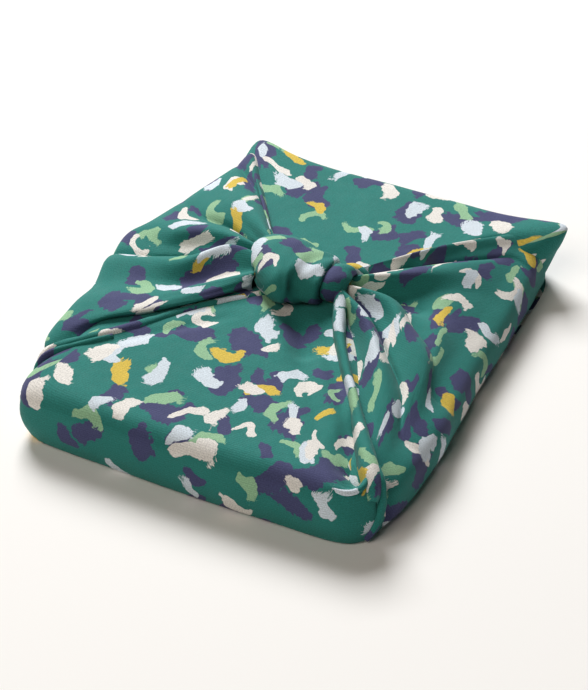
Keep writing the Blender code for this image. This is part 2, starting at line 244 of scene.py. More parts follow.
@dataclass(frozen=True)
class ClothPlace:
    """Where a patch lies on the flat cloth: turned, then moved."""

    turn: float
    move: tuple[float, float]

    def of(self, cloth: Array) -> Array:
        """The patch's own coordinates carried to the flat cloth."""
        c, s = math.cos(self.turn), math.sin(self.turn)
        return cloth @ np.array([[c, s], [-s, c]]) + np.array(self.move)


# ------------------------------------------------------------------- parcel
class Pull(NamedTuple):
    """Corner of the parcel where the cloth is drawn out, in millimetres."""

    x: float
    y: float
    by_x: float
    by_y: float
    by_z: float
    spread: float
    fade: float


class Crease(NamedTuple):
    """Soft trough or ridge of the top, in millimetres, along a line seen from above."""

    line: tuple[tuple[float, float], ...]
    width: float
    rise: float


@dataclass
class Parcel:
    """Cloth that lies smooth round the box: its top, sides and underside.

    lean and slump let the right side in and down, tuck draws its foot in, and ruffle is
    how uneven the sides are. Under the gathered corners the top sinks by hollow, inside
    border lines given in millimetres. A pair of numbers is the start and end of a soft
    step, in metres.
    """

    half_width: float = 0.1015
    half_depth: float = 0.1365
    top: float = 0.0345
    crown: float = 0.0012
    top_radius: float = 0.0120
    base_radius: float = 0.0028
    bulge: float = 0.0012
    squareness: float = 12.0
    cloth_turn: float = 0.014
    across: int = 80
    along: int = 108
    bend_rings: int = 9
    side_rings: int = 8
    under_rings: int = 5
    plug_share: float = 0.04
    under_shift: float = 0.5
    lean: float = 0.014
    lean_across: tuple[float, float] = (0.03, 0.095)
    lean_up: tuple[float, float] = (0.004, 0.034)
    lean_back: tuple[float, float] = (0.085, 0.128)
    lean_front: tuple[float, float] = (0.100, 0.130)
    slump: float = 0.007
    slump_across: tuple[float, float] = (0.068, 0.096)
    slump_up: tuple[float, float] = (0.010, 0.034)
    tuck: float = 0.008
    tuck_across: tuple[float, float] = (0.05, 0.1)
    tuck_along: tuple[float, float] = (-0.03, 0.135)
    tuck_eased: tuple[float, float] = (0.09, 0.12)
    unevenness: float = 0.35 * MM
    ruffle: float = 0.5 * MM
    wave_length: float = 0.055
    wave_seed: int = 3
    ruffle_length: float = 0.05
    ruffle_seed: int = 5
    straight: float = 0.93
    top_band: tuple[float, float] = (0.022, 0.006)
    crease_ends: tuple[float, float] = (-0.12, 0.25)
    hollow: float = 0.004
    hollow_rim: tuple[float, float] = (0.003, 0.013)
    hollow_ends: tuple[float, float] = (0.092, 0.114)
    hollow_lines: tuple[tuple[tuple[float, float], ...], ...] = (
        ((14, 27), (66, 103), (14, 3), (95, -117)),
        ((-31, 29), (-77.5, 100.3), (-31, -6), (-92.4, -66.8)),
    )
    pulls: tuple[Pull, ...] = (
        Pull(-85, 118, -5.5, 8, 1.2, 17, 2.0),
        Pull(-85, 118, -4, 4.5, 0.3, 9, 2.0),
        Pull(-95, 128, -5.5, 7, 0.5, 13, 1.3),
        Pull(85, 118, 9, 5, 2.2, 19, 2.0),
        Pull(85, 118, 7, 5, 1.2, 9, 2.0),
        Pull(95, 128, 4.5, 1.5, 0, 13, 1.0),
        Pull(-98, -120, -9, 0, 0, 24, 0.5),
        Pull(96, -129, 2, 12, 0, 11, 1.3),
        Pull(86, -117, 1, 1, -6.5, 7.5, 1),
        Pull(0, -138, 0, -1.2, 0, 45, 0),
        Pull(-101, -135, -2.4, -3.2, 0, 13, 0),
    )
    creases: tuple[Crease, ...] = (
        Crease(((-24, -12), (-10, -24), (2, -37), (16, -54)), 6, 1.8),
        Crease(((2, -12), (11, -26), (24, -46)), 8, -5.6),
        Crease(
            ((14, -8), (22, -22), (32, -36), (42, -51), (54, -67), (63, -83), (72, -99), (82, -113)),
            4,
            -2.4,
        ),
        Crease(((12, -40), (27, -56), (41, -75), (52, -92), (64, -106), (75, -117)), 5, -1.5),
        Crease(((81, -103), (84.5, -111), (86.8, -117.5), (85.5, -122.5), (80, -125.5)), 2.8, -4.2),
        Crease(
            ((92, -112), (92.5, -118), (92, -122), (90, -126), (86, -129), (80, -130.5), (74, -130)),
            2.4,
            1.8,
        ),
        Crease(((-88, 118), (-75, 94), (-58, 66)), 4, -0.8),
        Crease(((-30, -30), (-48, -48), (-70, -70), (-88, -88)), 3.5, -1.6),
    )

    def outline(self, inset: float) -> Array:
        """Ring of the rounded rectangle |x/w|^n + |y/d|^n = 1.

        Args:
            inset: How far the ring is drawn in from the parcel's widest.

        Returns:
            Rows of x and y, starting at the front left corner.
        """
        s = np.linspace(-1, 1, self.across, endpoint=False)
        t = np.linspace(-1, 1, self.along, endpoint=False)
        a = np.concatenate([s, np.ones_like(t), -s, -np.ones_like(t)])
        b = np.concatenate([-np.ones_like(s), t, np.ones_like(s), -t])
        n = self.squareness
        shrink = (np.abs(a) ** n + np.abs(b) ** n) ** (-1 / n)
        size = np.array([self.half_width - inset, self.half_depth - inset])
        return np.stack([a, b], 1) * shrink[:, None] * size

    def profile(self) -> Array:
        """Section down the side: quarter circle, bulge of half a sine, quarter circle.

        Returns:
            Rows of inset and height, from the top edge down.
        """
        bend = np.linspace(0, np.pi / 2, self.bend_rings)
        top = np.stack([1 - np.sin(bend), np.cos(bend) - 1], 1) * self.top_radius
        top[:, 1] += self.top
        low, high = self.base_radius, self.top - self.top_radius
        share = np.linspace(1, 0, self.side_rings)[1:-1]
        side = np.stack([-self.bulge * np.sin(np.pi * share), low + (high - low) * share], 1)
        base = np.stack([1 - np.cos(bend[::2]), 1 - np.sin(bend[::2])], 1) * low
        return np.concatenate([top, side, base])

    def drawn_out(self, points: Array) -> Array:
        """Points with the right side let down and the corners pulled.

        A pull moves each point by its amount times exp(-(distance/spread)^2) and times the
        height, as a share of the top's, to the power of its fade.

        Args:
            points: Points of the plain parcel.

        Returns:
            The moved points.
        """
        points = points.copy()
        x, y, z = points[..., 0].copy(), points[..., 1].copy(), points[..., 2].copy()
        middle = (1 - ease(y, *self.lean_back)) * (1 - ease(-y, *self.lean_front))
        leaning = ease(x, *self.lean_across) * middle * ease(z, *self.lean_up)
        slumping = ease(x, *self.slump_across) * middle * ease(z, *self.slump_up)
        points[..., 0] -= self.lean * leaning
        points[..., 2] -= self.slump * slumping
        share = np.clip(z / self.top, 0, 1)
        foot = ease(x, *self.tuck_across) * ease(y, *self.tuck_along)
        points[..., 0] -= self.tuck * foot * (1 - share * ease(y, *self.tuck_eased))
        points[..., 2] -= self.hollow * self.covered(x, y) * ease(z, 0.010, self.top - 0.002)
        plan = np.stack([x, y], -1)
        for p in self.pulls:
            away = np.linalg.norm(plan - np.array([p.x, p.y]) * MM, axis=-1)
            weight = np.exp(-((away / (p.spread * MM)) ** 2)) * share**p.fade
            weight = np.where(points[..., 2] < self.base_radius / 2, 0, weight)
            points += weight[..., None] * np.array([p.by_x, p.by_y, p.by_z]) * MM
        return points

    def covered(self, x: Array, y: Array) -> Array:
        """How far a place lies under a gathered corner.

        It is a soft step of the distance inside the corner's two border lines.

        Args:
            x: Places across.
            y: Places along.

        Returns:
            Shares from 0 at the border lines to 1 well inside.
        """
        share = np.zeros_like(x)
        for lines in self.hollow_lines:
            inside = np.full_like(x, np.inf)
            for start, end in (lines[:2], lines[2:]):
                (x0, y0), (x1, y1) = np.array(start) * MM, np.array(end) * MM
                run, rise = x1 - x0, y1 - y0
                side = ((x - x0) * rise - (y - y0) * run) / math.hypot(run, rise)
                inside = np.minimum(inside, side * np.sign(run * rise))
            share = np.maximum(share, ease(inside, *self.hollow_rim))
        return share * (1 - ease(np.abs(y), *self.hollow_ends))

    def creased(self, points: Array) -> Array:
        """Points with the soft creases and unevenness of the top.

        A crease adds its rise times exp(-(distance/width)^2), and fades at its two ends.

        Args:
            points: Points of the drawn out parcel.

        Returns:
            The moved points.
        """
        points = points.copy()
        plan = points[..., :2]
        level = ease(points[..., 2], *(self.top - down for down in self.top_band))
        for crease in self.creases:
            away, place = distance_to_line(plan, np.array(crease.line, float) * MM)
            fade = ease(np.minimum(place, 1 - place), *self.crease_ends)
            bell = np.exp(-((away / (crease.width * MM)) ** 2))
            points[..., 2] += crease.rise * MM * fade * level * bell
        wave = ripples(plan[..., 0], plan[..., 1], self.wave_length, self.wave_seed)
        points[..., 2] += level * self.unevenness * wave
        return points

    def patches(self) -> list[Patch]:
        """Top grid, side rings and underside of the parcel.

        The top is square rings drawn to the outline's own shape, the side is the outline
        carried down the profile, and the underside is the last ring drawn in.

        Returns:
            The patches.
        """
        ring = self.outline(self.top_radius)
        s = np.linspace(-1, 1, self.across + 1)
        t = np.linspace(-1, 1, self.along + 1)
        a, b = np.meshgrid(s, t)
        reach = np.maximum(np.maximum(np.abs(a), np.abs(b)), 1e-9)
        n = self.squareness
        # A known flaw: the very middle comes out as 0 times infinity, and validate() puts
        # that one point at the origin, a thin spike inside the parcel under the knot.
        shrink = ((np.abs(a) / reach) ** n + (np.abs(b) / reach) ** n) ** (-1 / n)
        size = np.array([self.half_width - self.top_radius, self.half_depth - self.top_radius])
        plan = np.stack([a, b], -1) * shrink[..., None] * size
        height = self.top + self.crown * (1 - reach**2)
        top = self.creased(self.drawn_out(np.concatenate([plan, height[..., None]], -1)))
        top_cloth = face_corners(plan[..., 0], plan[..., 1])

        rows = self.profile()
        plans = np.stack([self.outline(inset) for inset, _ in rows])
        z = np.repeat(rows[:, 1:], ring.shape[0], 1)
        side = np.concatenate([plans, z[..., None]], -1)
        down = np.concatenate([[0], np.cumsum(np.linalg.norm(np.diff(rows, axis=0), axis=1))])
        side = self.creased(self.drawn_out(side))
        walk = lengths_along(ring, 0)
        wave = ripples(walk, walk * 0, self.ruffle_length, self.ruffle_seed)
        belly = np.sin(np.pi * np.clip(rows[:, 1] / self.top, 0, 1)) * self.ruffle
        out = np.sign(ring) * (np.abs(ring) / size > self.straight)
        side[..., :2] += (belly[:, None] * wave[None])[..., None] * out
        side_cloth = self.side_cloth(plans, down)

        share = np.linspace(1, self.plug_share, self.under_rings)[:, None, None]
        under = np.concatenate([plans[-1] * share, np.zeros_like(plans[-1:, :, :1]) * share], -1)
        around = np.concatenate([under, under[:, :1]], 1)
        under_cloth = face_corners(around[..., 0] + self.under_shift, around[..., 1])
        inside = np.array([[0.0, y, 0.02] for y in np.linspace(-0.1, 0.1, 9)])
        return [
            grid_patch(top, top_cloth).turned_out(inside),
            grid_patch(side, side_cloth, closed=True).turned_out(inside),
            grid_patch(under, under_cloth, closed=True).turned_out(inside),
            self.plug(under[-1], inside),
        ]

    def plug(self, ring: Array, inside: Array) -> Patch:
        """Small patch that closes the middle of the underside.

        The ring is cut into two halves and the patch is ruled between them.

        Args:
            ring: Last ring of the underside.
            inside: Points inside the parcel.

        Returns:
            The patch.
        """
        half = len(ring) // 2
        rows = np.stack([ring[: half + 1], np.concatenate([ring[:1], ring[: half - 1 : -1]])])
        share = np.linspace(0, 1, 3)[:, None, None]
        grid = rows[0] * (1 - share) + rows[1] * share
        cloth = face_corners(grid[..., 0] + self.under_shift, grid[..., 1])
        return grid_patch(grid, cloth).turned_out(inside)

    def side_cloth(self, plans: Array, down: Array) -> Array:
        """Places of the side faces on the cloth.

        Across is the distance round the ring from the middle of the front or of the back,
        whichever is nearer, eased in from x at the top edge, and along is the distance down.

        Args:
            plans: Rings of the side seen from above.
            down: Distance of each ring from the top edge.

        Returns:
            Rows of faces, columns of faces, four corners, two coordinates.
        """
        closed = np.concatenate([plans, plans[:, :1]], 1)
        walk = lengths_along(closed, 1)
        total = walk[:, -1:]
        front = self.across // 2
        rear = front + self.across + self.along
        share = ease(down, 0, self.cloth_turn)[:, None]
        level = np.abs(closed[..., 1]) > self.half_depth * 0.9
        is_rear = np.zeros_like(walk)
        v = -(self.half_depth - self.top_radius + down)[:, None] + 0 * walk
        places = []
        for middle, way in ((front, 1), (rear, -1)):
            u = way * (walk - walk[:, middle : middle + 1])
            u -= total * np.round(u / total)
            is_rear = is_rear if way < 0 else (np.abs(u) > total / 4).astype(float)
            u = np.where(level, u * share + closed[..., 0] * (1 - share), u)
            places.append(face_corners(u, v * way))
        use = face_corners(is_rear, v)[..., 0].mean(2) > 0.5
        return np.where(use[..., None, None], places[1], places[0])


# --------------------------------------------------------------------- ties
class Side(Enum):
    """Side of the parcel that a corner of the cloth is gathered from."""

    LEFT = -1
    RIGHT = 1


class Fold(NamedTuple):
    """Ridge or valley of a gathered corner, in millimetres.

    edge_y and edge_z are where it crosses the top edge and out how far it stands from
    the side there. line holds four places on its way over the top, the last one inside
    the knot, and crisp marks a sharp crease.
    """

    edge_y: float
    edge_z: float
    out: float
    line: tuple[tuple[float, float, float], ...]
    crisp: bool = False


@dataclass
class GatheredCorner:
    """Corner of the cloth gathered up one side, over the top and into the knot.

    foot_line is where the cloth hangs, in millimetres along and out, edge_inset how far
    in the folds cross the top edge, pitch the usual width of a face and steps how many
    faces each stretch of a fold has. A wave is a ripple's length in columns and how many
    it is drawn out to along a fold, and grows is where on the way its depth sets in.
    """

    side: Side
    folds: tuple[Fold, ...]
    place: ClothPlace
    seed: int
    foot_line: tuple[tuple[float, float], ...]
    edge_inset: float
    pitch: float = 1.95 * MM
    foot: float = 0.0035
    root_depth: float = 0.008
    steps: tuple[int, ...] = (2, 5, 4, 5, 14, 14, 14, 12)
    fine_wave: tuple[float, float] = (7.4, 11.0)
    fine_depth: float = 0.30 * MM
    fine_grows: tuple[float, float] = (0.42, 0.95)
    soft_wave: tuple[float, float] = (21.0, 25.0)
    soft_depth: float = 0.25 * MM
    soft_grows: tuple[float, float] = (0.15, 0.5)
    soft_growth: float = 0.35 * MM
    border: int = 5

    @property
    def edge(self) -> int:
        """Point of every line at which it crosses the top edge."""
        return sum(self.steps[:4])

    def wall(self, y: Array) -> Array:
        """Distance of the hanging cloth from the middle line, read off the foot line.

        Args:
            y: Places along the side.

        Returns:
            Distances across.
        """
        line = np.array(self.foot_line, float) * MM
        fine = line_through(line, [8] * (len(line) - 1))
        return np.interp(y, fine[:, 0], fine[:, 1])

    def stations(self) -> Array:
        """Control points of every fold, from under the side over the edge to the knot.

        Returns:
            Folds, points of a fold, three coordinates.
        """
        table = np.array([fold[:3] for fold in self.folds], float) * MM
        edge_y, edge_z, out = table.T
        lines = np.array([fold.line for fold in self.folds], float) * MM
        sign = self.side.value
        wall = self.wall(edge_y)

        def at(reach: float, inset: float, height: Union[float, Array]) -> Array:
            """Points on the side, out by `reach` of each fold's own and in by `inset`."""
            x = sign * (wall + reach * out - inset)
            return np.stack([x, edge_y, np.broadcast_to(height, edge_y.shape)], 1)

        climb = [
            at(0.0, self.root_depth, self.foot / 2),
            at(0.2, 0.0, self.foot),
            at(0.8, 0.0, edge_z * 0.45),
            at(1.0, 0.22 * self.edge_inset, edge_z * 0.80),
            at(1.0, self.edge_inset, edge_z),
        ]
        return np.concatenate([np.stack(climb, 1), lines], 1)

    def gathers(self, rows: Array) -> tuple[Array, list[tuple[int, int, int]]]:
        """Carry the folds across: each gather is smooth between two sharp creases.

        Beside a sharp crease a shoulder is set in, a fifth of the way to the next ridge
        and half way up, so that the gather is round and meets its neighbour in a line.

        Args:
            rows: One smooth line for every fold.

        Returns:
            The grid with folds along its first axis, and for every gather its first,
            ridge and last column.
        """
        last = len(self.folds) - 1
        edge = self.edge
        cuts = [0, *[k for k in range(1, last) if self.folds[k].crisp], last]
        pieces, spans, begun = [], [], 0
        for first, end in zip(cuts[:-1], cuts[1:]):
            lines = list(rows[first : end + 1])
            if self.folds[first].crisp:
                lines.insert(1, self.shoulder(lines[0], lines[1]))
            if self.folds[end].crisp:
                lines.insert(-1, self.shoulder(lines[-1], lines[-2]))
            widths = [np.linalg.norm(b[edge] - a[edge], axis=-1) for a, b in zip(lines, lines[1:])]
            steps = [max(2, round(float(w) / self.pitch)) for w in widths]
            piece = line_through(np.array(lines), steps)
            ridge = int(piece[:, -30:-10, 2].mean(1).argmax())
            spans.append((begun, begun + ridge, begun + len(piece) - 1))
            begun += len(piece) - 1
            pieces.append(piece[:-1] if end != last else piece)
        return np.concatenate(pieces), spans

    @staticmethod
    def shoulder(valley: Array, ridge: Array) -> Array:
        """Line just beside a sharp crease: a fifth of the way across, half way up."""
        return valley + (ridge - valley) * np.array([0.2, 0.2, 0.5])

    def patches(self) -> list[Patch]:
        """The gathered corner as one patch, laid flat gather by gather.

        On the cloth a gather's ridge keeps its true length, and its width is the distance
        walked across from the ridge.

        Returns:
            The patch, in a list.
        """
        lines = np.stack([line_through(line, self.steps) for line in self.stations()])
        grid, spans = self.gathers(lines)
        grid = self.puckered(grid)
        edge = self.edge
        across = lengths_along(grid, 0)
        along = lengths_along(grid, 1)
        faces = np.zeros((grid.shape[0] - 1, grid.shape[1] - 1, 4, 2))
        for first, ridge, end in spans:
            base = across[ridge, edge]
            u = base + across[first : end + 1] - across[ridge]
            v = np.broadcast_to(along[ridge] - along[ridge, edge], u.shape)
            faces[first:end] = face_corners(u, v)
        sign = self.side.value
        inside = [[sign * x, y, 0.012] for x in (0.03, 0.06, 0.09) for y in (-0.06, 0.0, 0.06)]
        return [grid_patch(grid, self.place.of(faces)).turned_out(np.array(inside))]

    def puckered(self, grid: Array) -> Array:
        """Fine and soft uneven folds that follow the gathers and deepen towards the knot.

        Each is a ripple drawn out along the gathers, times a depth that grows by a soft
        step of the travel, and both die away over a few columns at the border.

        Args:
            grid: Folds along the first axis, travel towards the knot along the second.

        Returns:
            The moved grid.
        """
        count, length = grid.shape[:2]
        columns = np.arange(count)[:, None] + np.zeros(length)
        travel = np.arange(length)[None] / (length - 1) + np.zeros((count, 1))
        normal = grid_normals(grid)
        normal *= np.sign(normal[..., 2:].mean())
        (fine_length, fine_drawn), (soft_length, soft_drawn) = self.fine_wave, self.soft_wave
        fine = ripples(columns, travel * fine_drawn, fine_length, self.seed)
        soft = ripples(columns, travel * soft_drawn, soft_length, self.seed + 1)
        fade = np.minimum(1, np.minimum(columns, columns[::-1]) / self.border)
        depth = ease(travel, *self.fine_grows) * self.fine_depth
        body = self.soft_depth + self.soft_growth * ease(travel, *self.soft_grows)
        return grid + normal * (fine * depth + soft * body)[..., None] * fade[..., None]


LEFT_FOOT = ((-140, 100), (-90, 103), (0, 105), (90, 103), (140, 100))
RIGHT_FOOT = (
    (-140, 100), (-119, 102), (-90, 105), (-50, 104.5),
    (0, 101), (60, 99), (110, 96), (140, 93),
)

LEFT_FOLDS = (
    Fold(124, 30, -6, ((-77.5, 100.3, 30.7), (-62, 76.5, 31.5), (-46.5, 52.8, 32.2), (-31, 29, 33))),
    Fold(119, 36, -2.5, ((-81, 95.3, 38.6), (-64.9, 71.8, 40.7), (-48.6, 48.4, 43), (-31, 26, 46))),
    Fold(106, 33.5, -1, ((-79.1, 87.9, 36), (-60.8, 68.5, 37.2), (-46, 46.2, 38.8), (-31, 24, 42)), True),
    Fold(84, 35, 2, ((-86, 66, 41.7), (-66.7, 54, 45), (-47.6, 38.8, 47.5), (-31, 21, 50))),
    Fold(57, 34.5, 7, ((-90, 43.5, 37.6), (-67.6, 40.5, 36.2), (-48.9, 30.8, 35.6), (-31, 18.5, 40)), True),
    Fold(29, 35.5, 13, ((-94.6, 20, 42.2), (-72.5, 26, 44.4), (-51.5, 23.5, 46.4), (-31, 16.5, 49))),
    Fold(16, 33.5, 19.5, ((-96, 10.5, 36.4), (-74, 19, 38.2), (-53, 20.5, 41.5), (-31, 15.5, 45))),
    Fold(-3, 28.5, 19, ((-95.7, 1.5, 31.8), (-75, 9, 32.6), (-54.5, 17.4, 35), (-31, 14, 38)), True),
    Fold(-13, 33.5, 17.5, ((-93.5, -7.5, 39.5), (-72.5, -6, 44.8), (-54.5, 11.5, 49.2), (-31, 10, 50))),
    Fold(-33, 30.5, 13.5, ((-92.6, -24, 35.6), (-71, -17.5, 36.2), (-51, -3.5, 39), (-31, 4, 45))),
    Fold(-60, 34, 12.5, ((-88.1, -47.9, 38.6), (-67.8, -33.7, 40), (-49.7, -16.3, 42), (-31, -1, 45))),
    Fold(-91, 29.5, 11, ((-92.4, -66.8, 36.4), (-70.6, -48.9, 37.6), (-50, -28.4, 38.4), (-31, -6, 40))),
    Fold(-91, 26, -6, ((-90.3, -59.7, 31), (-70.2, -40.9, 31), (-51.9, -20.5, 31.5), (-31, -2, 32))),
)

RIGHT_FOLDS = (
    Fold(124, 27, -6, ((66, 103.8, 30), (48.8, 78.5, 31), (31.9, 53.3, 32), (14, 27, 33))),
    Fold(117, 32, 1, ((66.7, 95.4, 39.4), (48.8, 72.8, 42.6), (31.3, 47.6, 44.6), (14, 22, 46))),
    Fold(107, 30.5, 1, ((67.3, 87.5, 36.6), (48.6, 67, 38.8), (31.9, 43.6, 40.5), (14, 19.5, 43))),
    Fold(98, 28.5, 1, ((67.4, 80.2, 32.8), (47.6, 61.3, 33.4), (31, 41, 35), (14, 18, 38)), True),
    Fold(70, 28, 2, ((67.5, 59.5, 38.6), (50.6, 43.6, 43), (33.4, 29.8, 45), (14, 16.5, 46))),
    Fold(58, 27, 2, ((69.6, 47.5, 34.4), (52, 36.4, 34.6), (34, 26.4, 36.5), (14, 15, 40))),
    Fold(30, 26, 2, ((70.1, 29.8, 32.6), (54.4, 26.2, 31.8), (40.3, 24.3, 32.4), (14, 14, 36))),
    Fold(-4, 26.5, 2, ((74.9, 10.4, 33.6), (58.4, 16, 32.6), (44.4, 21.6, 32.2), (14, 13, 35.5))),
    Fold(-36, 26.5, 3, ((81, -11.7, 32.4), (63.8, 4, 31.8), (46.8, 19.6, 31.6), (14, 12, 35)), True),
    Fold(-47, 28.5, 4, ((81.4, -21.6, 38.8), (62.5, -6.5, 42.6), (44.5, 9.7, 45.2), (14, 11, 46))),
    Fold(-62, 28.5, 3, ((80.6, -35.7, 36.8), (62.2, -17.2, 39.6), (43.5, 1.8, 39), (14, 10.2, 42))),
    Fold(-76, 27.5, 2, ((79.5, -48.1, 32.4), (61.8, -26.1, 32.6), (42.6, -4.1, 32.4), (14, 9.5, 37)), True),
    Fold(-90, 29, 2, ((77.9, -61.2, 37.6), (60.4, -35.8, 42), (40.6, -10.2, 44.4), (14, 8, 46))),
    Fold(-108, 26, 0, ((76.6, -80.6, 32.6), (57.8, -50.7, 33), (36.5, -19.5, 32.6), (14, 5, 36))),
    Fold(-116, 24, -7, ((71.7, -86.2, 29), (55.9, -54.7, 30.5), (33.9, -23.6, 30.5), (14, 3, 33))),
)


# -------------------------------------------------------------------- rolls
class Dent(NamedTuple):
    """Soft dent in a roll, in millimetres; a negative depth is a swelling."""

    x: float
    y: float
    z: float
    spread: float
    depth: float


class Section(NamedTuple):
    """Section of a roll of cloth, in millimetres: its middle, half width and half height."""

    x: float
    y: float
    z: float
    half_width: float
    half_height: float


def sections(*rows: tuple[float, ...]) -> tuple[Section, ...]:
    """Sections of a roll from rows of numbers."""
    return tuple(Section(*row) for row in rows)


@dataclass
class Roll:
    """Cloth rolled along a path: oval sections, set square to it or to given headings.

    yaw holds the headings in degrees, spread evenly along the roll, and a fullness below
    1 makes the ovals squarer.
    """

    sections: tuple[Section, ...]
    place: ClothPlace
    around: int = 28
    steps: int = 8
    yaw: tuple[float, ...] = ()
    seed: int = 20
    crumple: float = 0.25 * MM
    dents: tuple[Dent, ...] = ()
    fullness: float = 1.0
    crumple_length: float = 12 * MM

    def grid(self) -> Array:
        """Rings: middle + cos(turn) half width sideways + sin(turn) half height upwards.

        Returns:
            Rings, points round a ring, three coordinates.
        """
        steps = [self.steps] * (len(self.sections) - 1)
        table = line_through(np.array(self.sections, float) * MM, steps)
        middle = table[:, None, :3]
        half_width, half_height = table[:, 3, None, None], table[:, 4, None, None]
        ahead = np.gradient(table[:, :3], axis=0)
        if self.yaw:
            given = np.linspace(0, len(table) - 1, len(self.yaw))
            turned = np.radians(np.interp(np.arange(len(table)), given, self.yaw))
            ahead = np.stack([np.cos(turned), np.sin(turned), 0 * turned], 1)
        ahead /= np.linalg.norm(ahead, axis=1, keepdims=True)
        sideways = np.cross(ahead, (0, 0, 1))
        sideways /= np.linalg.norm(sideways, axis=1, keepdims=True)
        upward = np.cross(sideways, ahead)
        turn = np.linspace(0, 2 * np.pi, self.around, endpoint=False)[None, :, None]
        waves = (np.cos(turn), np.sin(turn))
        across, over = (np.sign(wave) * np.abs(wave) ** self.fullness for wave in waves)
        out = across * sideways[:, None] * half_width
        return middle + out + over * upward[:, None] * half_height

    def shaped(self, grid: Array) -> Array:
        """Rings with the unevenness of crumpled cloth, and dented.

        A dent moves each point inwards by its depth times exp(-(distance/spread)^2).

        Args:
            grid: The plain rings.

        Returns:
            The moved rings.
        """
        normal = grid_normals(grid, closed=True)
        out = grid - grid.mean(1, keepdims=True)
        normal *= np.sign((normal * out).sum())
        turn = np.linspace(0, 2 * np.pi, self.around, endpoint=False)[None]
        along = lengths_along(grid.mean(1), 0)[:, None]
        side, rise = np.cos(turn) * self.crumple_length, np.sin(turn) * self.crumple_length
        wave = ripples(side + along, rise + 0 * along, self.crumple_length, self.seed)
        grid = grid + normal * (wave * self.crumple)[..., None]
        for *middle, spread, depth in self.dents:
            away = np.linalg.norm(grid - np.array(middle) * MM, axis=-1)
            bell = np.exp(-((away / (spread * MM)) ** 2))
            grid = grid - normal * (depth * MM * bell)[..., None]
        return grid

    def patches(self) -> list[Patch]:
        """The roll as one patch whose seam lies underneath.

        Returns:
            The patch, in a list.
        """
        grid = np.roll(self.shaped(self.grid()), self.around // 4, axis=1)
        closed = np.concatenate([grid, grid[:, :1]], 1)
        u = lengths_along(closed, 1)
        u = u - u[:, self.around // 2 : self.around // 2 + 1]
        v = lengths_along(grid[:, self.around // 2], 0)[:, None] + 0 * u
        middle = grid.mean(1)
        return [grid_patch(grid, self.place.of(face_corners(u, v)), closed=True).turned_out(middle)]


FRONT_PLEAT = sections(
    (14, 13, 43, 3, 4), (19.5, 3, 41.5, 3.8, 4.6), (24, -8, 37.5, 3.9, 6.1), (30, -20.5, 35, 3.4, 6.9),
    (37, -32, 33.6, 2.9, 7), (48, -48.6, 32.8, 2.9, 6.8), (59.5, -64.5, 32.2, 2.8, 6.8),
    (69.5, -79.5, 31.2, 3.6, 7.5), (79.6, -94.6, 30.2, 4.6, 8.4), (86.6, -104.6, 29.1, 5.2, 8.8),
    (91.6, -111.6, 28, 5.2, 8.2), (95.2, -117, 25.5, 4.4, 7), (97, -121, 22, 2.6, 4),
)
CORNER_CREASE = sections(
    (92.5, -107.5, 33, 2.0, 2.2), (97.3, -112, 30, 2.3, 2.3), (100, -116, 23, 2.3, 2.3),
    (100.6, -119.5, 15, 2.3, 2.3), (99.2, -124, 7.5, 2.2, 2.2), (96.4, -127.2, 2.4, 1.8, 1.8),
)
POCKET_RIM = sections(
    (90.5, -112.0, 31.6, 1.2, 1.2), (91.8, -117.5, 31.8, 1.5, 1.5), (91.8, -121.5, 31.4, 1.6, 1.6),
    (90.4, -125.4, 30.8, 1.6, 1.6), (87.6, -128.2, 30.6, 1.6, 1.6), (83.6, -130.0, 31.0, 1.4, 1.4),
    (79.0, -130.4, 31.6, 1.0, 1.0), (73.5, -130.2, 31.6, 0.6, 0.6),
)
LOWER_ROLL = sections(
    (-24, -4, 33.8, 2.6, 3.8), (-37, -16, 33.6, 2.8, 3.4), (-54, -34, 33.6, 2.8, 3.2),
    (-73, -60, 33.6, 3.0, 3.2), (-92, -82, 33, 2.8, 3.2), (-107, -98, 30, 2.5, 3),
    (-109.3, -103.5, 20, 2.0, 2.8), (-107.4, -106.5, 9, 1.8, 2.4), (-103.8, -108, 2.6, 1.2, 1.4),
)
CORNER_ROLL = sections(
    (-80, -74, 33.5, 1.5, 2.2), (-92, -88, 33.4, 2, 2.6), (-106, -102.5, 30, 2, 2.8),
    (-108.4, -109, 20, 1.6, 2.4), (-106.4, -112.5, 9, 1.5, 2.0), (-102.8, -114.5, 2.4, 1.0, 1.2),
)
KNOT_WRAP = sections(
    (-33.0, 0.4, 44.6, 5, 3), (-32.2, 1.2, 44.8, 13, 6), (-30.6, 2.6, 45.0, 19.6, 8.7),
    (-28.0, 4.2, 45.3, 24.2, 10.8), (-24.4, 6.0, 45.7, 26.4, 11.9), (-19.6, 8.2, 46.0, 26.4, 12.3),
    (-14, 9.6, 46.2, 25, 12.2), (-8.5, 10.4, 45.6, 22.8, 11.6), (-3, 10.8, 44.8, 20.2, 10.9),
    (2.5, 11.2, 44.4, 18.2, 10.6), (7, 11.6, 44.0, 16.6, 10), (8.2, 11.8, 43.8, 13, 8),
)
WRAP_YAW = (38, 38, 38, 38, 35, 29, 22, 16, 11, 7, 3, 0)
KNOT_DENTS = (
    Dent(-3, -8, 54, 5.5, 3.6),
    Dent(-1, -9.5, 48, 5.5, 3.4),
    Dent(-11, -9, 54, 7, -1.2),
    Dent(4, -4, 52, 5, -0.6),
)
KNOT_COLLAR = sections(
    (3, 12, 43.2, 9, 6), (9, 12.4, 43.6, 12.4, 8.8), (13.5, 13, 43.8, 12.6, 9.4),
    (18, 14, 43.2, 11.2, 8.6), (21, 14.6, 42.2, 7.6, 6.4),
)
TUCKED_TAIL = sections(
    (8, 23, 44, 2.0, 2.0), (13, 25.2, 45.6, 3.0, 2.8), (17, 26.4, 45.4, 3.6, 3.0),
    (22, 27, 43.6, 3.0, 2.6), (24.5, 27, 42, 1.6, 1.6),
)


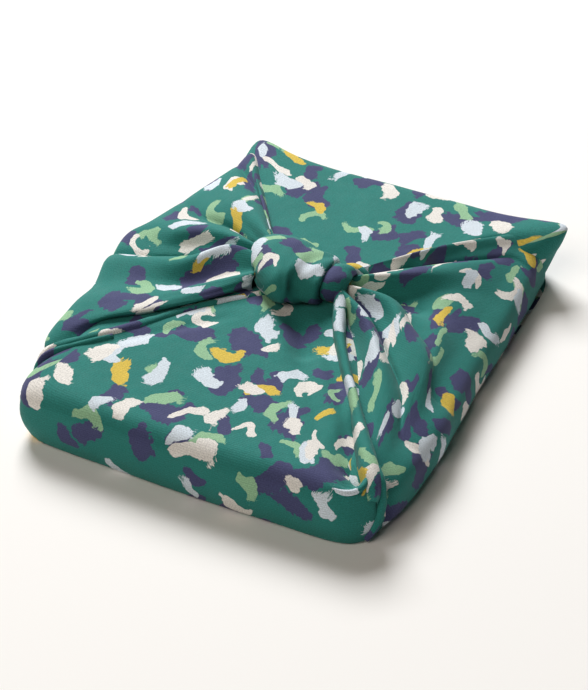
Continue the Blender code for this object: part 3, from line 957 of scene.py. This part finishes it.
# ------------------------------------------------------------------ finish
class Ink(Enum):
    """Colours of the print, as linear values."""

    GROUND = (0.022, 0.205, 0.178)
    NAVY = (0.062, 0.068, 0.165)
    CREAM = (0.81, 0.78, 0.735)
    ICE = (0.66, 0.74, 0.81)
    SAGE = (0.30, 0.53, 0.32)
    MUSTARD = (0.70, 0.51, 0.08)


class Dab(NamedTuple):
    """One layer of the print: brush dabs of one ink, scattered over the cloth.

    spacing is the usual distance between places in metres, share how many of them
    carry a dab, length and girth its half sizes as shares of the spacing, bend how much
    it curves, ragged how broken its ends are, and turn and shift set the layer apart.
    """

    ink: Ink
    spacing: float
    share: float
    length: float
    girth: float
    bend: float
    ragged: float
    turn: float
    shift: float


class Cloud(NamedTuple):
    """Cloudy unevenness: clouds to a metre of cloth, their detail, roughness and amount."""

    scale: float
    detail: float
    rough: float
    amount: float


class Weaver:
    """Short words for building a node tree."""

    def __init__(self, tree: bpy.types.NodeTree) -> None:
        """Keep the tree that nodes are added to."""
        self.tree = tree

    def node(self, kind: str, inputs: dict, **settings: object) -> bpy.types.Node:
        """Add a shader node, set its options and feed its inputs.

        Args:
            kind: Blender's name of the node type, after "ShaderNode".
            inputs: Values or sockets for the node's inputs, by name or number.
            **settings: The node's own options.

        Returns:
            The node.
        """
        made = self.tree.nodes.new("ShaderNode" + kind)
        for name, value in settings.items():
            setattr(made, name, value)
        for name, value in inputs.items():
            if isinstance(value, Socket):
                self.tree.links.new(value, made.inputs[name])
            else:
                made.inputs[name].default_value = value
        return made

    def first(self, kind: str, inputs: dict, **settings: object) -> Socket:
        """First output of a new node."""
        return self.node(kind, inputs, **settings).outputs[0]

    def step(self, operation: str, a: Number, b: Number = 0.0, c: Number = 0.0) -> Socket:
        """Result of one arithmetic step."""
        return self.first("Math", {0: a, 1: b, 2: c}, operation=operation)

    def plus(self, a: Number, b: Number) -> Socket:
        """a + b."""
        return self.step("ADD", a, b)

    def less(self, a: Number, b: Number) -> Socket:
        """a - b."""
        return self.step("SUBTRACT", a, b)

    def times(self, a: Number, b: Number) -> Socket:
        """a b."""
        return self.step("MULTIPLY", a, b)

    def scaled(self, a: Number, by: Number, start: Number) -> Socket:
        """a by + start."""
        return self.step("MULTIPLY_ADD", a, by, start)

    def vector(self, operation: str, inputs: dict) -> Socket:
        """Result of one step on vectors."""
        return self.first("VectorMath", inputs, operation=operation)

    def between(self, value: Number, low: float, high: float, how: str = "LINEAR") -> Socket:
        """Step from 0 at `low` to 1 at `high`, held beyond them."""
        inputs = {"Value": value, "From Min": low, "From Max": high}
        return self.first("MapRange", inputs, interpolation_type=how)

    def blend(self, share: Number, a: object, b: object, how: str = "MIX") -> Socket:
        """Colour `b` laid over colour `a` by `share`."""
        inputs = {0: share, 6: a, 7: b}
        return self.node("Mix", inputs, data_type="RGBA", blend_type=how).outputs[2]

    def noise(self, place: Socket, scale: float, detail: float, rough: float = 0.5) -> Socket:
        """Cloudy values from 0 to 1."""
        inputs = {"Vector": place, "Scale": scale, "Detail": detail, "Roughness": rough}
        return self.first("TexNoise", inputs, noise_dimensions="2D")

    def uneven(self, place: Socket, cloud: Cloud) -> Socket:
        """Cloudy values about zero, times the cloud's amount."""
        return self.times(self.less(self.noise(place, *cloud[:3]), 0.5), cloud.amount)


@dataclass(frozen=True)
class PrintedCotton:
    """Twill cotton with a scattered print of loose brush dabs.

    sway bends the rows of dabs and scatter puts them out of line. powers round the ends
    and the sides of a dab, sizes is the spread and the least of its size, bristles how
    close its streaks lie along and across, lumps how uneven and bleed how soft its
    outline is.
    """

    roughness: float = 0.78
    sheen: float = 0.10
    sheen_roughness: float = 0.45
    specular: float = 0.20
    twill_pitch: float = 1.25 * MM
    thread_pitch: float = 0.62 * MM
    rib_share: float = 0.32
    thread_drift: Cloud = Cloud(220.0, 1.0, 0.5, 0.5 * MM)
    mottle: Cloud = Cloud(1300.0, 2.0, 0.7, 0.85)
    wear: Cloud = Cloud(34.0, 3.0, 0.5, 0.14)
    slub_scale: float = 160.0
    slub_gloss: float = 0.16
    weave_shade: float = 0.16
    weave_gloss: float = -0.03
    weave_height: float = 0.12 * MM
    weave_bump: float = 0.55
    pucker_scale: float = 55.0
    pucker_height: float = 0.9 * MM
    pucker_bump: float = 0.5
    sway_scale: float = 3.6
    sway: float = 0.17
    scatter: float = 0.72
    powers: tuple[float, float] = (3.2, 2.4)
    sizes: tuple[float, float] = (0.45, 0.75)
    bristles: tuple[float, float] = (1.6, 4.2)
    lump_scale: float = 11.0
    lumps: float = 0.55
    bleed: float = 0.04
    dabs: tuple[Dab, ...] = (
        Dab(Ink.NAVY, 0.033, 0.88, 0.32, 0.19, 1.0, 0.08, 0.3, 0.0),
        Dab(Ink.NAVY, 0.034, 0.62, 0.25, 0.115, 2.0, 0.12, 1.1, 4.3),
        Dab(Ink.SAGE, 0.033, 0.66, 0.30, 0.100, 2.4, 0.30, 2.0, 9.1),
        Dab(Ink.CREAM, 0.031, 0.45, 0.36, 0.092, 2.3, 0.10, 2.6, 30.2),
        Dab(Ink.MUSTARD, 0.037, 0.33, 0.24, 0.098, 1.8, 0.35, 1.7, 21.4),
        Dab(Ink.ICE, 0.034, 0.66, 0.26, 0.12, 1.4, 0.42, 0.9, 14.7),
        Dab(Ink.CREAM, 0.034, 0.40, 0.24, 0.135, 1.6, 0.28, 0.5, 37.9),
    )

    def dab_share(self, w: Weaver, flat: Socket, dab: Dab) -> Socket:
        """How much of a layer's ink lies at each place.

        Voronoi cells give every dab its middle and three random numbers. In the dab's own
        turned coordinates the outline is |along / length|^p + |across / girth|^q = 1,
        measured round a bow, and noise stretched along the stroke breaks one end.

        Args:
            w: Builder of the node tree.
            flat: Place on the flat cloth in metres.
            dab: The layer.

        Returns:
            A value from 0, bare, to 1, inked.
        """
        shift = (dab.shift, dab.shift * 1.7, 0.0)
        laid = {"Vector": flat, "Location": shift, "Rotation": (0.0, 0.0, dab.turn)}
        place = w.first("Mapping", {**laid, "Scale": (1 / dab.spacing,) * 3})
        swaying = {"Vector": place, "Scale": self.sway_scale, "Detail": 0.0}
        cloud = w.node("TexNoise", swaying, noise_dimensions="2D").outputs["Color"]
        offset = w.vector("SUBTRACT", {0: cloud, 1: (0.5, 0.5, 0.5)})
        offset = w.vector("SCALE", {0: offset, "Scale": self.sway})
        bent = w.vector("ADD", {0: place, 1: offset})
        scattered = {"Vector": bent, "Scale": 1.0, "Randomness": self.scatter}
        cell = w.node("TexVoronoi", scattered, voronoi_dimensions="2D", feature="F1").outputs
        chance = w.node("SeparateColor", {"Color": cell["Color"]}).outputs
        local = w.vector("SUBTRACT", {0: bent, 1: cell["Position"]})
        turn = w.times(chance[0], 2 * math.pi)
        own = w.first("VectorRotate", {"Vector": local, "Angle": turn}, rotation_type="Z_AXIS")
        x, y, _ = w.node("SeparateXYZ", {"Vector": own}).outputs
        bow = w.step("DIVIDE", dab.length, w.scaled(chance[1], dab.bend, 0.12))
        out = w.plus(y, bow)
        away = w.step("SQRT", w.plus(w.times(x, x), w.times(out, out)))
        size = w.scaled(w.step("FRACT", w.times(chance[2], 7.0)), *self.sizes)
        far = w.times(w.step("ARCTAN2", x, out), bow)
        far = w.step("DIVIDE", far, w.times(size, dab.length))
        wide = w.step("DIVIDE", w.less(away, bow), w.times(size, dab.girth))
        ends = w.step("POWER", w.step("ABSOLUTE", far), self.powers[0])
        sides = w.step("POWER", w.step("ABSOLUTE", wide), self.powers[1])
        reach = w.step("POWER", w.plus(ends, sides), 0.4)
        along, across = self.bristles
        streak = w.first("CombineXYZ", {0: w.times(far, along), 1: w.times(wide, across)})
        streak = w.vector("ADD", {0: streak, 1: cell["Position"]})
        bristle = w.less(w.noise(streak, 1.6, 2.5, 0.7), 0.5)
        at_end = w.between(far, -0.1, 0.9, "SMOOTHSTEP")
        reach = w.plus(reach, w.times(w.times(bristle, at_end), dab.ragged * 3.0))
        lump = w.less(w.noise(place, self.lump_scale, 1.0), 0.5)
        reach = w.scaled(lump, self.lumps, reach)
        inked = w.between(reach, 1 + self.bleed, 1 - self.bleed)
        return w.times(inked, w.step("LESS_THAN", chance[2], dab.share))

    def material(self) -> bpy.types.Material:
        """The finish as a node material that reads the cloth's own map.

        Returns:
            The material.
        """
        made = bpy.data.materials.new("printed cotton")
        made.use_nodes = True
        tree = made.node_tree
        w = Weaver(tree)
        surface = tree.nodes["Principled BSDF"].inputs
        flat = w.first("UVMap", {}, uv_map=CLOTH_MAP)
        colour: object = (*Ink.GROUND.value, 1.0)
        for dab in self.dabs:
            colour = w.blend(self.dab_share(w, flat, dab), colour, (*dab.ink.value, 1.0))

        u, v, _ = w.node("SeparateXYZ", {"Vector": flat}).outputs
        slub = w.noise(flat, self.slub_scale, 2.0)
        drifted = w.plus(v, w.uneven(flat, self.thread_drift))
        rib = w.step("SINE", w.times(drifted, 2 * math.pi / self.twill_pitch))
        diagonal = 2 * math.pi / self.thread_pitch / math.sqrt(2)
        warp = w.step("SINE", w.times(w.plus(u, v), diagonal))
        weft = w.step("SINE", w.times(w.less(u, v), diagonal))
        thread = w.times(w.plus(warp, weft), 0.5)
        weave = w.plus(w.times(rib, self.rib_share), w.times(thread, 1 - self.rib_share))

        shade = w.scaled(weave, self.weave_shade, 1.0)
        for cloud in (self.mottle, self.wear):
            shade = w.plus(shade, w.uneven(flat, cloud))
        grey = w.first("CombineColor", {0: shade, 1: shade, 2: shade})
        tree.links.new(w.blend(1.0, colour, grey, "MULTIPLY"), surface["Base Color"])

        rough = w.scaled(w.less(slub, 0.5), self.slub_gloss, self.roughness)
        tree.links.new(w.scaled(weave, self.weave_gloss, rough), surface["Roughness"])
        surface["Specular IOR Level"].default_value = self.specular
        surface["Sheen Weight"].default_value = self.sheen
        surface["Sheen Roughness"].default_value = self.sheen_roughness

        woven = {"Strength": self.weave_bump, "Distance": self.weave_height, "Height": weave}
        pucker = w.plus(w.noise(flat, self.pucker_scale, 3.0, 0.6), w.times(slub, 0.25))
        bumpy = {"Strength": self.pucker_bump, "Distance": self.pucker_height, "Height": pucker}
        bump = w.first("Bump", {**bumpy, "Normal": w.first("Bump", woven)})
        tree.links.new(bump, surface["Normal"])
        return made


# ------------------------------------------------------------------- pieces
def placed(name: str, data: bpy.types.ID) -> bpy.types.Object:
    """New object in the scene.

    Args:
        name: Its name.
        data: The mesh, lamp or camera that it shows.

    Returns:
        The object.
    """
    piece = bpy.data.objects.new(name, data)
    bpy.context.scene.collection.objects.link(piece)
    return piece


@dataclass
class Furoshiki:
    """The whole tied cloth as one thin sheet."""

    thickness: float = 0.5 * MM

    def parts(self) -> dict[str, list[Patch]]:
        """Every part of the cloth.

        Returns:
            The patches of each part, by a maker's name for it.
        """
        at = ClothPlace
        left, right = at(1.35, (0.9, 0.2)), at(-1.2, (1.7, 0.4))
        made = {
            "smooth panels": Parcel(),
            "left corner": GatheredCorner(Side.LEFT, LEFT_FOLDS, left, 11, LEFT_FOOT, 2 * MM),
            "right corner": GatheredCorner(Side.RIGHT, RIGHT_FOLDS, right, 12, RIGHT_FOOT, 14 * MM),
            "front pleat": Roll(FRONT_PLEAT, at(0.6, (2.2, 0.1)), 28, 6, fullness=0.86),
            "corner crease": Roll(CORNER_CREASE, at(0.6, (2.2, 0.3)), 16),
            "pocket rim": Roll(POCKET_RIM, at(0.3, (4.62, 0.31)), 16),
            "lower roll": Roll(LOWER_ROLL, at(0.2, (2.5, 0.3)), 20),
            "corner roll": Roll(CORNER_ROLL, at(0.9, (2.8, 0.5)), 16),
            "knot wrap": Roll(
                KNOT_WRAP, at(0.4, (3.2, 0.2)), 80, 5, WRAP_YAW, 31, 0.6 * MM, KNOT_DENTS, 0.86
            ),
            "knot collar": Roll(
                KNOT_COLLAR, at(1.9, (3.6, 0.2)), 64, 7, yaw=(0, 0), seed=32, fullness=0.86
            ),
            "tucked tail": Roll(TUCKED_TAIL, at(1.1, (3.9, 0.1)), 24, seed=33),
        }
        return {name: part.patches() for name, part in made.items()}

    @staticmethod
    def sewn(mesh: bpy.types.Mesh) -> None:
        """Merge points that lie on each other, so that neighbouring patches join up.

        Args:
            mesh: The cloth's mesh, changed in place.
        """
        work = bmesh.new()
        work.from_mesh(mesh)
        bmesh.ops.remove_doubles(work, verts=work.verts, dist=1e-6)
        work.to_mesh(mesh)
        work.free()

    def build(self) -> bpy.types.Object:
        """Join the parts into one piece and give the sheet its thickness.

        Returns:
            The cloth.
        """
        patches = []
        for name, part in self.parts().items():
            log.info("%s: %d faces", name, sum(len(p.faces) for p in part))
            patches += part
        start = np.cumsum([0, *[len(p.points) for p in patches]])[:-1]
        points = np.concatenate([p.points for p in patches])
        faces = np.concatenate([p.faces + s for p, s in zip(patches, start)])
        cloth = np.concatenate([p.cloth for p in patches]).reshape(-1, 2)
        mesh = bpy.data.meshes.new("furoshiki_cloth")
        mesh.from_pydata(points, [], faces)
        mesh.validate()
        mesh.uv_layers.new(name=CLOTH_MAP).data.foreach_set("uv", cloth.ravel())
        self.sewn(mesh)
        mesh.shade_smooth()
        piece = placed("furoshiki_cloth", mesh)
        wall = piece.modifiers.new("thickness of the cloth", "SOLIDIFY")
        wall.thickness = self.thickness
        wall.offset = -1.0
        mesh.materials.append(PrintedCotton().material())
        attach(piece, BODY)
        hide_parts(NODE)
        return piece


# ------------------------------------------------------------------- studio
@dataclass
class Studio:
    """Pale floor, soft light and the camera."""

    azimuth: float = 26.69
    elevation: float = 37.54
    distance: float = 1.233
    right_shift: float = -0.0069
    up_shift: float = 0.0039
    focal_pixels: float = 2200.0
    frame_height: float = 690.0
    sensor: float = 36.0
    lamp_distance: float = 4.0
    floor_side: float = 12.0

    def floor(self) -> bpy.types.Object:
        """Plain pale floor under the parcel.

        Returns:
            The floor.
        """
        half = self.floor_side / 2
        corners = [(-half, -half, 0), (half, -half, 0), (half, half, 0), (-half, half, 0)]
        mesh = bpy.data.meshes.new("floor")
        mesh.from_pydata(corners, [], [(0, 1, 2, 3)])
        piece = placed("floor", mesh)
        paper = bpy.data.materials.new("pale floor")
        paper.use_nodes = True
        surface = paper.node_tree.nodes["Principled BSDF"]
        surface.inputs["Base Color"].default_value = (0.95, 0.935, 0.915, 1.0)
        surface.inputs["Roughness"].default_value = 0.9
        surface.inputs["Specular IOR Level"].default_value = 0.1
        mesh.materials.append(paper)
        return piece

    def lamp(
        self,
        name: str,
        azimuth: float,
        elevation: float,
        size: float,
        watts: float,
        tint: tuple[float, float, float],
    ) -> None:
        """Square soft lamp that looks at the parcel.

        Args:
            name: Its name.
            azimuth: Degrees round from the front, as the camera's.
            elevation: Degrees above the floor.
            size: Side of the square in metres.
            watts: Its power.
            tint: Colour of its light.
        """
        data = bpy.data.lights.new(name, "AREA")
        data.size = size
        data.energy = watts
        data.color = tint
        piece = placed(name, data)
        back = self.towards(azimuth, elevation)[0]
        piece.location = back * self.lamp_distance
        piece.rotation_mode = "QUATERNION"
        piece.rotation_quaternion = Vector(-back).to_track_quat("-Z", "Y")

    @staticmethod
    def towards(azimuth: float, elevation: float) -> Array:
        """Direction from the parcel to a place round it, and the two square to it.

        Args:
            azimuth: Degrees round from the front.
            elevation: Degrees above the floor.

        Returns:
            Rows: backwards from the view, to its right and up.
        """
        a, e = math.radians(azimuth), math.radians(elevation)
        back = np.array([math.sin(a) * math.cos(e), -math.cos(a) * math.cos(e), math.sin(e)])
        right = np.array([math.cos(a), math.sin(a), 0.0])
        return np.stack([back, right, np.cross(back, right)])

    def camera(self) -> None:
        """Camera that looks down on the front right corner."""
        back, right, up = self.towards(self.azimuth, self.elevation)
        data = bpy.data.cameras.new("camera")
        data.sensor_width = self.sensor
        data.lens = self.focal_pixels * self.sensor / self.frame_height
        data.clip_start = 0.05
        data.clip_end = 50.0
        piece = placed("camera", data)
        turn = Matrix(np.stack([right, up, back], 1).tolist())
        piece.matrix_world = turn.to_4x4()
        piece.location = back * self.distance + right * self.right_shift + up * self.up_shift
        bpy.context.scene.camera = piece

    def build(self) -> None:
        """Set up floor, lamps, sky and camera."""
        self.floor()
        self.lamp("key lamp", 220.0, 42.0, 1.8, 210.0, (0.99, 0.995, 1.0))
        self.lamp("front lamp", 345.0, 48.0, 2.6, 54.0, (1.0, 0.92, 0.82))
        world = bpy.data.worlds.new("studio")
        world.use_nodes = True
        sky = world.node_tree.nodes["Background"]
        sky.inputs["Color"].default_value = (1.0, 0.94, 0.87, 1.0)
        sky.inputs["Strength"].default_value = 0.03
        bpy.context.scene.world = world
        bpy.context.scene.view_settings.view_transform = "Standard"
        self.camera()


def main() -> None:
    """Build the tied cloth on its frame and set up the studio."""
    logging.basicConfig(level=logging.INFO, format="%(name)s: %(message)s")
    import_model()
    cloth = Furoshiki().build()
    log.info("%s: %d points", cloth.name, len(cloth.data.vertices))
    Studio().build()
    log.info("studio: ready")


if __name__ == "__main__":
    main()
